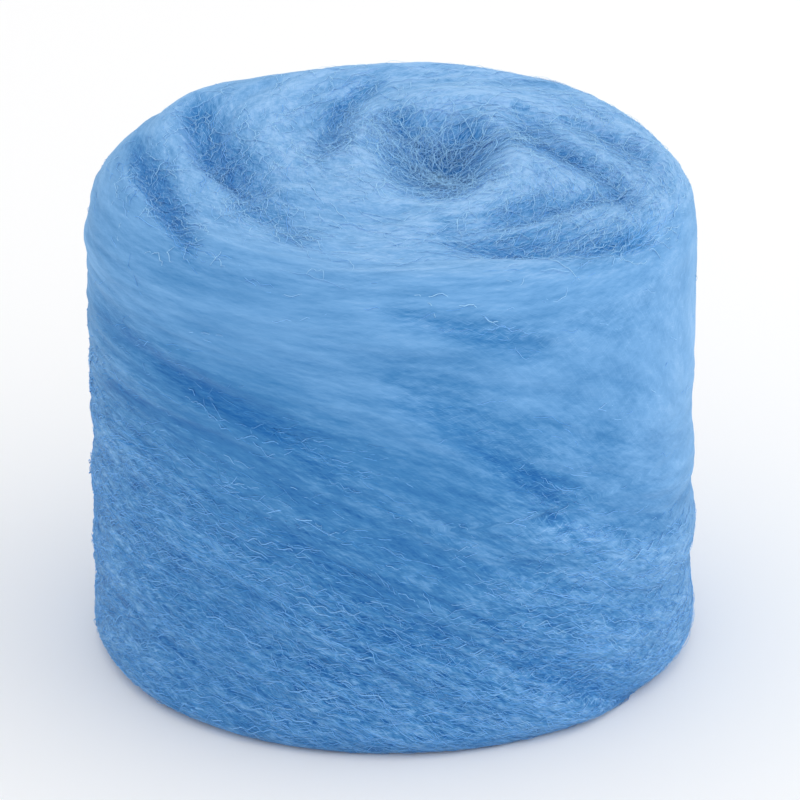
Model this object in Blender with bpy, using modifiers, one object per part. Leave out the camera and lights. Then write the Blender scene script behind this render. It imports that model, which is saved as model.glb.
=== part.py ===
"""A roll of wool roving: one sliver wound on itself into a soft drum that stands on its end.

Metres, +Z up. The origin is the middle of the flat spot that the roll stands on, -Y is its front,
and +X is the side towards which its eye and the low side of its wraps lie.
"""

import math
from collections import namedtuple

import bmesh
import bpy
import numpy as np

MM = 0.001

# The drum that the turns fill
ROLL_RADIUS = 65 * MM
ROLL_HEIGHT = 108 * MM
TOP_EDGE_RADIUS = 11 * MM
BOTTOM_EDGE_RADIUS = 5 * MM

# The winding: its axis leans, so the eye lies off the middle of each end, on opposite sides,
# and the wraps of the side dip towards the low side
EYE_OFFSET = np.array((10 * MM, 7 * MM))
LOW_SIDE = math.radians(7)
SIDE_LEAN = 31 * MM
LEAN_TOP = 100 * MM
LEAN_DROP = 36 * MM
LEAN_SOFTNESS = 0.15

# Three slivers lie side by side, and each gains this much on the eye in a whole turn
SLIVER_EDGES = (22 * MM, 38 * MM, 55 * MM)
TURN_GAIN = 58 * MM
SLIVER_CROWN = 1.0 * MM
WIDEST_CROWN = 1.3

# The sunken eye is longer from front to back than across, and a soft collar stands round it
EYE_FLOOR_RADIUS = 5 * MM
EYE_RIM_RADIUS = 16.5 * MM
EYE_STRETCH = 1.8
EYE_DEPTH = 5 * MM
COLLAR_RADIUS = 18 * MM
COLLAR_WIDTH = 5.5 * MM
COLLAR_RISE = 1.2 * MM

# Pits in the eye, which make it an uneven nest: their middles and half widths (mm), and depths (mm)
Pit = namedtuple("Pit", "name x y wide long depth")
PITS = (
    Pit("bottom", 12, 10, 6, 8, 3.8),
    Pit("far_left", 1.5, 25, 4.5, 7, 2.6),
    Pit("far_right", 17, 22, 4.5, 6, 1.4),
)

# The flat spot at the bottom, and how far the turns round it are pressed flat
FLAT_SPOT_RADIUS = 30 * MM
PRESSED_RADIUS = 45 * MM
PRESSED = 0.7 * MM
UNDERSIDE_HEIGHT = 0.1 * MM

# Places where a turn stands off the next one inside it. An azimuth is counted from +X, anticlockwise
# from above, and a distance (mm) from the eye, over the top and on down the side. The bow bends the
# middle outwards. The outer wall is steep, and the inner slope is gentle.
Crevice = namedtuple(
    "Crevice", "name azimuth_from distance_from azimuth_to distance_to bow wall slope depth"
)
CREVICES = (
    Crevice("left_inner", 142, 61, 208, 43, -3, 3.6, 7.0, 5.4),
    Crevice("left_fold", 192, 45, 240, 52, -1, 4.0, 6.0, 2.0),
    Crevice("left_outer", 162, 70, 224, 72, -8, 3.0, 4.5, 3.4),
    Crevice("back", 104, 46, 182, 25, -7, 3.4, 5.0, 3.2),
    Crevice("right_inner", -40, 54, 60, 30, -16, 3.6, 5.5, 3.4),
    Crevice("right_outer", -24, 52, 44, 34, -3, 2.6, 3.6, 1.8),
    Crevice("front_right", 280, 38, 340, 41, -4, 4.0, 6.0, 2.8),
    Crevice("front_band", 268, 42, 330, 61, 1, 2.8, 9.0, 3.8),
    Crevice("front_edge", 260, 76, 294, 81, 1, 2.8, 3.6, 1.6),
    Crevice("side_front", 262, 97, 312, 109, 0, 3.6, 6.5, 1.6),
    Crevice("side_left", 196, 112, 262, 124, 0, 3.6, 6.5, 1.4),
    Crevice("side_back", 60, 92, 130, 84, 0, 3.6, 6.5, 1.6),
    Crevice("side_low", 292, 142, 356, 150, 0, 3.6, 6.5, 1.3),
)
CREVICE_END_POWER = 0.8

# Broad unevenness of the hand-wound drum: height in mm, waves round it and along it, and a phase.
# It dies away towards the middle of each end.
Swell = namedtuple("Swell", "height around along phase")
SWELLS = (
    Swell(0.4, 3, 2.2, 0.4),
    Swell(0.3, 5, 3.6, 2.1),
    Swell(0.2, 8, 5.1, 4.0),
)
SWELL_FULL_RADIUS = 26 * MM

# Mesh
MERIDIANS = 100
TOP_STEP = 2.35 * MM
EDGE_STEP = 2.9 * MM
SIDE_STEP = 4.9 * MM
BOTTOM_STEP = 7.5 * MM
MERGE_DISTANCE = 0.00001

WOOL_COLOUR = (0.16, 0.42, 0.78, 1.0)
WOOL_ROUGHNESS = 0.9


def remove_scene_objects():
    for thing in list(bpy.data.objects):
        bpy.data.objects.remove(thing, do_unlink=True)


def smoothstep(start, end, value):
    share = np.clip((value - start) / (end - start), 0.0, 1.0)
    return share * share * (3.0 - 2.0 * share)


def wrapped(angle):
    """The angle brought between -pi and pi."""
    return (angle + math.pi) % (2 * math.pi) - math.pi


def spaced(start, end, step):
    """Numbers from start to end, evenly spaced by about the step, without the end."""
    count = max(1, round(abs(end - start) / step))
    return [start + (end - start) * i / count for i in range(count)]


def edge_arc(centre_radius, centre_height, radius, start, end):
    """Points along a rounded edge of the drum, between two angles from the horizontal."""
    angles = spaced(start, end, EDGE_STEP / radius)
    return [(centre_radius + radius * math.cos(a), centre_height + radius * math.sin(a)) for a in angles]


def drum_profile():
    """Radius and height of the drum's outline, from the middle of its top down to that of its bottom."""
    top_centre = ROLL_RADIUS - TOP_EDGE_RADIUS
    bottom_centre = ROLL_RADIUS - BOTTOM_EDGE_RADIUS
    side_top = ROLL_HEIGHT - TOP_EDGE_RADIUS
    points = [(r, ROLL_HEIGHT) for r in spaced(0.0, top_centre, TOP_STEP)]
    points += edge_arc(top_centre, side_top, TOP_EDGE_RADIUS, math.pi / 2, 0.0)
    points += [(ROLL_RADIUS, z) for z in spaced(side_top, BOTTOM_EDGE_RADIUS, SIDE_STEP)]
    points += edge_arc(bottom_centre, BOTTOM_EDGE_RADIUS, BOTTOM_EDGE_RADIUS, 0.0, -math.pi / 2)
    points += [(r, 0.0) for r in spaced(bottom_centre, FLAT_SPOT_RADIUS, BOTTOM_STEP)]
    points += [(FLAT_SPOT_RADIUS, 0.0), (0.0, 0.0)]
    return points


def drum_outline(name):
    """The profile as a chain of edges in the XZ plane."""
    corners = [(radius, 0.0, height) for radius, height in drum_profile()]
    edges = [(i, i + 1) for i in range(len(corners) - 1)]
    mesh = bpy.data.meshes.new(name)
    mesh.from_pydata(corners, edges, [])
    outline = bpy.data.objects.new(name, mesh)
    bpy.context.scene.collection.objects.link(outline)
    return outline


def turned_drum(name):
    """The drum as a mesh: its outline turned about Z by a Screw modifier."""
    outline = drum_outline(name + "_outline")
    screw = outline.modifiers.new("turn", "SCREW")
    screw.axis = "Z"
    screw.steps = MERIDIANS
    screw.render_steps = MERIDIANS
    screw.use_merge_vertices = True
    screw.merge_threshold = MERGE_DISTANCE
    screw.use_smooth_shade = True
    evaluated = outline.evaluated_get(bpy.context.evaluated_depsgraph_get())
    mesh = bpy.data.meshes.new_from_object(evaluated)
    mesh.name = name
    bpy.data.objects.remove(outline, do_unlink=True)
    return mesh


def split_along_the_spiral(mesh):
    """Splits each four-sided face on the diagonal that runs the way the slivers do."""
    cage = bmesh.new()
    cage.from_mesh(mesh)
    bmesh.ops.triangulate(cage, faces=cage.faces[:], quad_method="ALTERNATE")
    cage.to_mesh(mesh)
    cage.free()


def winding_azimuth(x, y, z):
    """Azimuth round the leaning axis, which runs from the eye at the bottom to the eye at the top."""
    share = 2.0 * z / ROLL_HEIGHT - 1.0
    return np.arctan2(y - EYE_OFFSET[1] * share, x - EYE_OFFSET[0] * share)


def side_lean(z):
    """How far a wrap dips on the low side at each height, and how that changes with the height.

    The dip grows from nought under the top edge to the whole lean, and keeps it down to the bottom.
    """
    share = (LEAN_TOP - z) / LEAN_DROP
    soft = np.sqrt(share * share + LEAN_SOFTNESS**2)
    rest = np.sqrt((share - 1.0) ** 2 + LEAN_SOFTNESS**2)
    lean = 0.5 * SIDE_LEAN * (1.0 + soft - rest)
    return lean, -0.5 * SIDE_LEAN / LEAN_DROP * (share / soft - (share - 1.0) / rest)


def wound_distance(x, y, z):
    """Distance from the top eye, over the top and down the side, along which the turns are laid.

    The lean makes the wraps of the side dip towards the low side.
    """
    dip = side_lean(z)[0] * np.hypot(x, y) / ROLL_RADIUS * np.cos(np.arctan2(y, x) - LOW_SIDE)
    from_top_eye = np.hypot(x - EYE_OFFSET[0], y - EYE_OFFSET[1])
    from_bottom_eye = np.hypot(x + EYE_OFFSET[0], y + EYE_OFFSET[1])
    upper = from_top_eye + ROLL_HEIGHT - z
    lower = 2.0 * ROLL_RADIUS + ROLL_HEIGHT - from_bottom_eye - z
    return np.where(z > ROLL_HEIGHT / 2, upper, lower) - dip


def sliver_crown(x, y, z):
    """Height of the slivers' crowns: lower where the lean crowds the wraps of the side together."""
    crowding = 1.0 + side_lean(z)[1] * np.cos(np.arctan2(y, x) - LOW_SIDE)
    return SLIVER_CROWN * np.minimum(crowding**-2, WIDEST_CROWN)


def sliver_relief(distance, azimuth):
    """Pillowed slivers, whose edges gain on the eye as they go round: 0 on a crown, -1 at an edge."""
    edges = np.array(SLIVER_EDGES + (SLIVER_EDGES[0] + TURN_GAIN,))
    phase = edges[0] + (distance + TURN_GAIN * azimuth / (2 * math.pi) - edges[0]) % TURN_GAIN
    sliver = np.clip(np.searchsorted(edges, phase, side="right") - 1, 0, len(SLIVER_EDGES) - 1)
    across = 2.0 * (phase - edges[sliver]) / (edges[sliver + 1] - edges[sliver]) - 1.0
    return 0.5 * (np.cos(math.pi * across) - 1.0)


def crevice_relief(crevice, distance, azimuth):
    """One crevice: a steep outer wall and a gentle inner slope, fading out towards both of its ends."""
    middle = math.radians(crevice.azimuth_from + crevice.azimuth_to) / 2
    reach = math.radians(crevice.azimuth_to - crevice.azimuth_from) / 2
    along = wrapped(azimuth - middle) / reach
    fade = np.clip(1.0 - along * along, 0.0, 1.0) ** CREVICE_END_POWER
    mean = (crevice.distance_from + crevice.distance_to) / 2
    drift = (crevice.distance_to - crevice.distance_from) / 2
    across = distance / MM - mean - drift * along - crevice.bow * (1.0 - along * along)
    across = np.where(across > 0.0, across / crevice.wall, across / crevice.slope)
    return -crevice.depth * MM * fade * np.exp(-across * across)


def pit_relief(pit, x, y):
    """One pit: a bell curve."""
    return -pit.depth * MM * np.exp(-(((x / MM - pit.x) / pit.wide) ** 2) - ((y / MM - pit.y) / pit.long) ** 2)


def eye_relief(x, y):
    """The bowl of the eye, the pits in it and the collar round it."""
    reach = np.hypot(x - EYE_OFFSET[0], (y - EYE_OFFSET[1]) / EYE_STRETCH)
    bowl = -EYE_DEPTH * (1.0 - smoothstep(EYE_FLOOR_RADIUS, EYE_RIM_RADIUS, reach))
    collar = COLLAR_RISE * np.exp(-(((reach - COLLAR_RADIUS) / COLLAR_WIDTH) ** 2))
    return bowl + collar + sum(pit_relief(pit, x, y) for pit in PITS)


def swell_relief(x, y, z):
    """A few long waves round and along the drum."""
    azimuth = np.arctan2(y, x)
    radius = np.hypot(x, y)
    level = z / ROLL_HEIGHT + radius / ROLL_RADIUS
    waves = [s.height * MM * np.sin(s.around * azimuth + s.along * level + s.phase) for s in SWELLS]
    return sum(waves) * smoothstep(0.0, SWELL_FULL_RADIUS, radius)


def wound_relief(x, y, z):
    """How far the wound surface stands out of the drum (negative: sunk into it)."""
    distance = wound_distance(x, y, z)
    azimuth = winding_azimuth(x, y, z)
    outside_eye = smoothstep(COLLAR_RADIUS, COLLAR_RADIUS + 2 * COLLAR_WIDTH, distance)
    relief = outside_eye * sliver_crown(x, y, z) * sliver_relief(distance, azimuth)
    relief += swell_relief(x, y, z)
    for crevice in CREVICES:
        relief += crevice_relief(crevice, distance, azimuth)
    relief += np.where(z > ROLL_HEIGHT / 2, eye_relief(x, y), 0.0)
    loose = smoothstep(FLAT_SPOT_RADIUS, PRESSED_RADIUS, np.hypot(x, y))
    return np.where(z < UNDERSIDE_HEIGHT, loose * np.minimum(relief + PRESSED, 0.0), relief)


def wind(mesh):
    """Moves the drum's points along its normals to the wound surface, and none below the flat spot."""
    count = len(mesh.vertices)
    place = np.empty(count * 3, np.float32)
    normal = np.empty(count * 3, np.float32)
    mesh.vertices.foreach_get("co", place)
    mesh.vertices.foreach_get("normal", normal)
    place = place.reshape(count, 3).astype(float)
    normal = normal.reshape(count, 3).astype(float)
    radius = np.hypot(place[:, 0], place[:, 1])
    on_top = place[:, 2] > ROLL_HEIGHT - TOP_EDGE_RADIUS
    follows_eye = on_top * np.clip(1.0 - (radius / ROLL_RADIUS) ** 2, 0.0, 1.0)
    place[:, :2] += follows_eye[:, None] * EYE_OFFSET
    place += normal * wound_relief(*place.T)[:, None]
    place[:, 2] = np.maximum(place[:, 2], 0.0)
    mesh.vertices.foreach_set("co", place.astype(np.float32).ravel())
    mesh.update()


def wool_material():
    material = bpy.data.materials.new("sky_blue_wool")
    material.use_nodes = True
    shader = material.node_tree.nodes["Principled BSDF"]
    shader.inputs["Base Color"].default_value = WOOL_COLOUR
    shader.inputs["Roughness"].default_value = WOOL_ROUGHNESS
    shader.inputs["Metallic"].default_value = 0.0
    return material


def wound_roving(collection):
    """The whole roll: one solid of its wound form."""
    mesh = turned_drum("wound_roving")
    split_along_the_spiral(mesh)
    wind(mesh)
    mesh.shade_smooth()
    mesh.materials.append(wool_material())
    collection.objects.link(bpy.data.objects.new("wound_roving", mesh))


def main():
    remove_scene_objects()
    collection = bpy.data.collections.new("wool_roving_roll")
    bpy.context.scene.collection.children.link(collection)
    wound_roving(collection)


main()
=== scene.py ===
"""Looks of a roll of sky-blue wool roving: the wound sliver, its combed fibres and a pale studio.

Metres, +Z up. The roll stands on z = 0, and its front is towards -Y. A place on the roll is given by
two numbers: how far it is along the drum's outline, from the middle of the top over the edge and down
the side to the middle of the bottom, and its angle round +Z from +X, anticlockwise from above.
"""

import math
from collections import namedtuple

import bpy
import numpy as np
from bpy.props import FloatProperty, FloatVectorProperty, PointerProperty
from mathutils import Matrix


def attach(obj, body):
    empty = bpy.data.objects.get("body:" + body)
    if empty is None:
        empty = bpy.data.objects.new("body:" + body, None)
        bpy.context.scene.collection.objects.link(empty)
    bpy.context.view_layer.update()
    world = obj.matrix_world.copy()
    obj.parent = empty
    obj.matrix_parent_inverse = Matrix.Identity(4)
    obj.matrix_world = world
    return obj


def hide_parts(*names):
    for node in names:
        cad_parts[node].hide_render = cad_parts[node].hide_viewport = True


bl_info = {
    "name": "Wool roving roll",
    "version": (1, 0, 0),
    "blender": (4, 5, 0),
    "location": "View3D > Sidebar > Wool roving",
    "description": "Winds a roll of combed wool roving and lays its fibres",
    "category": "Add Mesh",
}

MM = 0.001
BODY = "root"
ROLL_NODE = "wound_roving"

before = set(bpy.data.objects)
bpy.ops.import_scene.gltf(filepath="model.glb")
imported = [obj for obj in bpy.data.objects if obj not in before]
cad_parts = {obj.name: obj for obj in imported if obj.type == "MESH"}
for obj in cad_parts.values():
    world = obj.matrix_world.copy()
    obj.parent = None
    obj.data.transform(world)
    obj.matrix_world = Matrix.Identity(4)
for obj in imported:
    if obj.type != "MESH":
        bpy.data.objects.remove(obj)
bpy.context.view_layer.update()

# The drum of turns
ROLL_RADIUS = 65 * MM
ROLL_HEIGHT = 108 * MM
TOP_EDGE_RADIUS = 11 * MM
BOTTOM_EDGE_RADIUS = 5 * MM

# Where the outline passes from the flat top to the edge, the side, the lower edge and the bottom
EDGE_START = ROLL_RADIUS - TOP_EDGE_RADIUS
SIDE_START = EDGE_START + TOP_EDGE_RADIUS * math.pi / 2
SIDE_END = SIDE_START + ROLL_HEIGHT - TOP_EDGE_RADIUS - BOTTOM_EDGE_RADIUS
BOTTOM_START = SIDE_END + BOTTOM_EDGE_RADIUS * math.pi / 2
OUTLINE_END = BOTTOM_START + ROLL_RADIUS - BOTTOM_EDGE_RADIUS

# The winding: its axis leans, so the eye lies off the middle of each end, on opposite sides,
# and the wraps dip towards the low side
EYE_OFFSET = np.array((10 * MM, 7 * MM))
LOW_SIDE = math.radians(7)
SIDE_LEAN = 31 * MM
LEAN_TOP = 100 * MM
LEAN_DROP = 36 * MM
LEAN_SOFTNESS = 0.15

# Three slivers lie side by side, and each gains this much on the eye in a turn
SLIVER_EDGES = (22 * MM, 38 * MM, 55 * MM)
TURN_GAIN = 58 * MM
SLIVER_CROWN = 0.65 * MM
WIDEST_CROWN = 1.3

# The sunken eye is longer from front to back than across, and a soft collar stands round it
EYE_FLOOR_RADIUS = 5 * MM
EYE_RIM_RADIUS = 16.5 * MM
EYE_STRETCH = 1.8
EYE_DEPTH = 3.6 * MM
COLLAR_RADIUS = 18 * MM
COLLAR_WIDTH = 5.5 * MM
COLLAR_RISE = 1.2 * MM

# Pits that make the eye an uneven nest: their middles, half widths and depths (mm)
Pit = namedtuple("Pit", "name x y wide long depth")
PITS = (
    Pit("bottom", 12, 10, 6, 8, 3.8),
    Pit("far_left", 1.5, 25, 4.5, 7, 2.6),
    Pit("far_right", 17, 22, 4.5, 6, 1.4),
)

# The flat spot at the bottom, and how far the turns round it are pressed flat
FLAT_SPOT_RADIUS = 30 * MM
PRESSED_RADIUS = 45 * MM
PRESSED = 0.7 * MM
PRESSED_HEIGHT = 2.5 * MM

# Places where a turn stands off the next one inside it. An azimuth is in degrees, and a distance (mm)
# is from the eye, over the top and on down the side. The bow bends the middle outwards. The outer
# wall is steep, and the inner slope gentle. The last number is its painted shade, from 0 to 1.
Crevice = namedtuple(
    "Crevice", "name azimuth_from distance_from azimuth_to distance_to bow wall slope depth dark"
)
CREVICES = (
    Crevice("left_inner", 148, 61, 208, 43, -3, 3.6, 7.0, 4.2, 0.95),
    Crevice("left_fold", 192, 45, 240, 52, -1, 4.0, 6.0, 1.6, 0.5),
    Crevice("left_outer", 168, 70, 224, 72, -8, 3.0, 4.5, 2.8, 1.0),
    Crevice("back", 104, 46, 182, 25, -7, 3.4, 5.0, 2.1, 0.75),
    Crevice("right_inner", -40, 54, 60, 30, -16, 3.6, 5.5, 2.3, 1.0),
    Crevice("right_outer", -24, 52, 44, 34, -3, 2.6, 3.6, 1.4, 0.45),
    Crevice("front_right", 280, 38, 340, 41, -4, 4.0, 6.0, 2.2, 0.8),
    Crevice("front_band", 266, 42, 324, 60, 1, 4.4, 9.0, 2.7, 0.85),
    Crevice("front_edge", 260, 76, 294, 81, 1, 2.2, 3.4, 1.6, 0.35),
    Crevice("side_front", 262, 97, 312, 109, 0, 3.4, 6.5, 1.6, 0.35),
    Crevice("side_left", 196, 112, 262, 124, 0, 3.4, 6.5, 1.4, 0.4),
    Crevice("side_back", 60, 92, 130, 84, 0, 3.4, 6.5, 1.6, 0.45),
    Crevice("side_low", 292, 142, 356, 150, 0, 3.4, 6.5, 1.3, 0.3),
)
CREVICE_END_POWER = 0.8

# Broad unevenness of the hand-wound drum: height in mm, waves round it and along it, and a phase
Swell = namedtuple("Swell", "height around along phase")
SWELLS = (
    Swell(0.2, 3, 2.2, 0.4),
    Swell(0.15, 5, 3.6, 2.1),
    Swell(0.15, 8, 5.1, 4.0),
)
SWELL_FULL_RADIUS = 26 * MM

# The top edge is fuller at the back left: the middle and reach of that in azimuth, its rise, and the
# radii and heights over which it comes in
SHOULDER_AZIMUTH = math.radians(138)
SHOULDER_REACH = math.radians(34)
SHOULDER_RISE = 1.6 * MM
SHOULDER_RADII = (25 * MM, 55 * MM)
SHOULDER_HEIGHTS = (60 * MM, 100 * MM)

# Locks: ridges of fibres that lie together along the slivers. Height (mm), how many follow each other
# in a turn and lie side by side in its gain, and a seed.
Lock = namedtuple("Lock", "height around across seed")
LOCKS = (
    Lock(0.30, 9, 7, 3),
    Lock(0.30, 17, 15, 11),
    Lock(0.30, 34, 31, 23),
    Lock(0.10, 62, 58, 37),
)
LOCK_FULL_HEIGHT = 12 * MM

# Tone of the wool, from 0 in a gap to 1 on the palest fibre. Painted light from above: pale on top and
# on the upper wraps, which face the light, and deeper lower down the side, where shade falls. It
# changes at these wound distances, which two sets of locks push to and fro.
TOP_PAINTED_LIGHT = 0.17
TOP_FADE = (45 * MM, 80 * MM)
LIT_UPPER_TONE = 0.58
SHADED_LOWER_TONE = 0.34
PAINTED_SHADE_SPAN = (92 * MM, 124 * MM)
LOCK_PUSHES = (7 * MM, 5 * MM)

# The low side, on the right, is where the cosine of the azimuth from it lies above this span. It is
# painted paler, as painted light from the right, and there the painted shade and coarse grain start sooner.
RIGHT_SPAN = (-0.1, 0.6)
RIGHT_PAINTED_LIGHT_HIGH = 0.07
RIGHT_PAINTED_LIGHT_LOW = 0.14
RIGHT_PAINTED_SHADE_CUT = 20 * MM
RIGHT_GRAIN_CUT = 27 * MM

# What slivers, locks, the collar and gaps add to the tone or take from it: painted shade in the
# grooves between slivers and in the gaps, painted light on the raised collar, and uneven tone from
# the locks
SLIVER_GROOVE_SHADE = 0.05
LOCK_TONES = (0.05, 0.05, 0.04)
COLLAR_PAINTED_LIGHT = 0.06
GAP_PAINTED_SHADE = 0.78

# Depth in a gap, which sets the painted shade there: locks make a crevice's uneven, within limits.
# The eye's is this share in its bowl, and full in a pit this deep.
GAP_EVEN = 0.95
GAP_UNEVEN = (0.45, 0.35)
GAP_LIMITS = (0.4, 1.2)
BOWL_GAP = 0.55
FULL_PIT = 4 * MM

# Grain of the wool, from 0 where it lies smooth, on the upper wraps, to 1 where single fibres show
SMOOTH_GRAIN = 0.06
COARSENING = (104 * MM, 178 * MM)
TOP_GRAIN = 0.35
GAP_GRAIN = 0.7
GAP_GRAIN_POWER = 0.7

# Grid of the wound surface, the step and the turn with which the run of the fibres is probed, and how
# far a step of a fibre may turn round the eye
ROWS_TO_FOOT = 216
ROWS_BELOW = 20
COLUMNS = 380
PROBE = 0.4 * MM
PROBE_TURN = 4 * PROBE / ROLL_RADIUS
MOST_TURN = 0.4

# Layers of fibres: the stretch of the outline, how many fibres, their length and half thickness (mm),
# the points of each, how far they lie off the flow and curl (degrees), the height and length of their
# crimp (mm), how far the middle stands off the wool and the ends are sunk in it (mm), how pale they
# are, partly their own colour and partly painted light that makes up for the shade on them, and a seed
FibreLayer = namedtuple(
    "FibreLayer",
    "name start end count length half points stray curl crimp wave lift sink tone seed",
)
SIDE_LAYERS = (
    FibreLayer("side_locks", 56, 169, 4000, 16, 0.09, 9, 12, 20, 0.35, 5, 0.10, 0.3, 0.16, 101),
    FibreLayer("side_hairs", 56, 169, 4700, 8, 0.075, 9, 26, 60, 0.4, 3.0, 0.16, 0.2, 0.36, 102),
    FibreLayer("side_strands", 60, 169, 260, 22, 0.11, 24, 16, 30, 0.7, 5, 0.3, 0.3, 0.38, 103),
)
TOP_LAYERS = (
    FibreLayer("top_locks", 14, 66, 800, 14, 0.08, 11, 18, 40, 0.4, 4.5, 0.25, 0.3, 0.4, 201),
    FibreLayer("top_hairs", 12, 66, 1500, 8, 0.075, 12, 42, 90, 0.4, 3.0, 0.6, 0.2, 0.85, 202),
)
EYE_LAYERS = (
    FibreLayer("eye_tangle", 0, 25, 520, 9, 0.08, 12, 65, 150, 0.4, 3.2, 2.0, 0.2, 1.0, 301),
)

# How a layer's fibres differ: the least and most of length, wave, crimp, half thickness and what is
# added to the tone, the power of the share of the lift, and how far a fibre strays by itself and with
# its lock, of which there are so many round and across
LENGTH_SPREAD = (0.55, 1.45)
WAVE_SPREAD = (0.7, 1.5)
CRIMP_SPREAD = (0.4, 1.3)
HALF_SPREAD = (0.7, 1.3)
TONE_SPREAD = (-0.12, 0.24)
LIFT_POWER = 1.5
OWN_STRAY = 0.7
LOCK_STRAY = 0.9
STRAY_LOCKS = (21, 17)

# A fibre's form: the powers of the half sine of its hump and of its taper, the share of its crimp that
# is off the wool, and how far it keeps off the pole and, in half thicknesses, the floor
HUMP_POWER = 0.6
TAPER_POWER = 0.4
CRIMP_LIFT = 0.35
POLE_GAP = 0.3 * MM
FLOOR_GAP = 1.5

# Starts of fibres: how many are tried for each that is kept, the steps along the outline that spread
# them, and the weight where the grain is nought
CANDIDATES = 3
SPREAD_STEPS = 400
LEAST_WEIGHT = 0.004

# Places of the top where fibres run off the slivers: the middle and reach in azimuth (degrees) and
# in distance from the eye (mm), and how far they turn (degrees)
LayTurn = namedtuple("LayTurn", "name azimuth reach distance width turn")
LAY_TURNS = (
    LayTurn("left_front", 222, 42, 44, 30, -34),
    LayTurn("left", 186, 30, 34, 26, -18),
    LayTurn("right", -14, 34, 36, 20, 26),
    LayTurn("back", 122, 46, 28, 20, 14),
)


def smoothstep(start, end, value):
    """0 below start, 1 above end, and three t squared less two t cubed between them."""
    share = np.clip((value - start) / (end - start), 0.0, 1.0)
    return share * share * (3.0 - 2.0 * share)


def wrapped(angle):
    """The angle brought between -pi and pi."""
    return (angle + math.pi) % (2 * math.pi) - math.pi


def unit(vectors):
    """The vectors at length 1."""
    return vectors / np.maximum(np.linalg.norm(vectors, axis=-1, keepdims=True), 1e-12)


def drum(along, around):
    """Places and outward normals on the plain drum.

    The outline is a flat top, a quarter circle, an upright side, a smaller quarter circle and a flat
    bottom. The normal's angle from upright is the sum of the two arcs' angles that are behind the
    place. Points of the top are drawn towards the eye by one less the square of their share of the
    radius, so that the rings of the grid centre on it.
    """
    top_arc = np.clip((along - EDGE_START) / TOP_EDGE_RADIUS, 0.0, math.pi / 2)
    low_arc = np.clip((along - SIDE_END) / BOTTOM_EDGE_RADIUS, 0.0, math.pi / 2)
    radius = np.minimum(along, EDGE_START) + TOP_EDGE_RADIUS * np.sin(top_arc)
    radius = radius - BOTTOM_EDGE_RADIUS * (1.0 - np.cos(low_arc)) - np.maximum(along - BOTTOM_START, 0.0)
    height = ROLL_HEIGHT - TOP_EDGE_RADIUS * (1.0 - np.cos(top_arc))
    height = height - np.clip(along - SIDE_START, 0.0, SIDE_END - SIDE_START)
    height = height - BOTTOM_EDGE_RADIUS * np.sin(low_arc)
    tilt = top_arc + low_arc
    drawn = np.where(along < SIDE_START, np.clip(1.0 - (radius / ROLL_RADIUS) ** 2, 0.0, 1.0), 0.0)
    x = radius * np.cos(around) + drawn * EYE_OFFSET[0]
    y = radius * np.sin(around) + drawn * EYE_OFFSET[1]
    place = np.stack((x, y, height + 0.0 * around), axis=-1)
    normal = np.stack((np.sin(tilt) * np.cos(around), np.sin(tilt) * np.sin(around), np.cos(tilt)), axis=-1)
    return place, normal


def winding_azimuth(x, y, z):
    """Azimuth round the leaning axis, which runs from the eye at the bottom to the eye at the top."""
    share = 2.0 * z / ROLL_HEIGHT - 1.0
    return np.arctan2(y - EYE_OFFSET[1] * share, x - EYE_OFFSET[0] * share)


def side_lean(z):
    """How far a wrap dips on the low side at each height, and how that changes with the height.

    The dip grows from nought under the top edge to the whole lean, and keeps it down to the bottom:
    half of one more than the softened share of the drop less that of what is left of it.
    """
    share = (LEAN_TOP - z) / LEAN_DROP
    soft = np.sqrt(share * share + LEAN_SOFTNESS**2)
    rest = np.sqrt((share - 1.0) ** 2 + LEAN_SOFTNESS**2)
    lean = 0.5 * SIDE_LEAN * (1.0 + soft - rest)
    return lean, -0.5 * SIDE_LEAN / LEAN_DROP * (share / soft - (share - 1.0) / rest)


def wound_distance(x, y, z):
    """Distance from the top eye, over the top and down the side, along which the turns are laid.

    On the upper half it is the distance from the eye in plan plus the drop from the top. On the lower
    half it is what is left to the bottom eye. The dip of the wraps is taken off.
    """
    dip = side_lean(z)[0] * np.hypot(x, y) / ROLL_RADIUS * np.cos(np.arctan2(y, x) - LOW_SIDE)
    from_top_eye = np.hypot(x - EYE_OFFSET[0], y - EYE_OFFSET[1])
    from_bottom_eye = np.hypot(x + EYE_OFFSET[0], y + EYE_OFFSET[1])
    upper = from_top_eye + ROLL_HEIGHT - z
    lower = 2.0 * ROLL_RADIUS + ROLL_HEIGHT - from_bottom_eye - z
    return np.where(z > ROLL_HEIGHT / 2, upper, lower) - dip


def sliver_crown(x, y, z):
    """Height of the slivers' crowns: lower where the lean crowds the wraps of the side together."""
    crowding = 1.0 + side_lean(z)[1] * np.cos(np.arctan2(y, x) - LOW_SIDE)
    return SLIVER_CROWN * np.minimum(crowding**-2, WIDEST_CROWN)


def sliver_relief(distance, azimuth):
    """Pillowed slivers, a raised cosine across each: 0 on a crown, -1 at an edge."""
    edges = np.array(SLIVER_EDGES + (SLIVER_EDGES[0] + TURN_GAIN,))
    phase = edges[0] + (distance + TURN_GAIN * azimuth / (2 * math.pi) - edges[0]) % TURN_GAIN
    sliver = np.clip(np.searchsorted(edges, phase, side="right") - 1, 0, len(SLIVER_EDGES) - 1)
    across = 2.0 * (phase - edges[sliver]) / (edges[sliver + 1] - edges[sliver]) - 1.0
    return 0.5 * (np.cos(math.pi * across) - 1.0)


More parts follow.
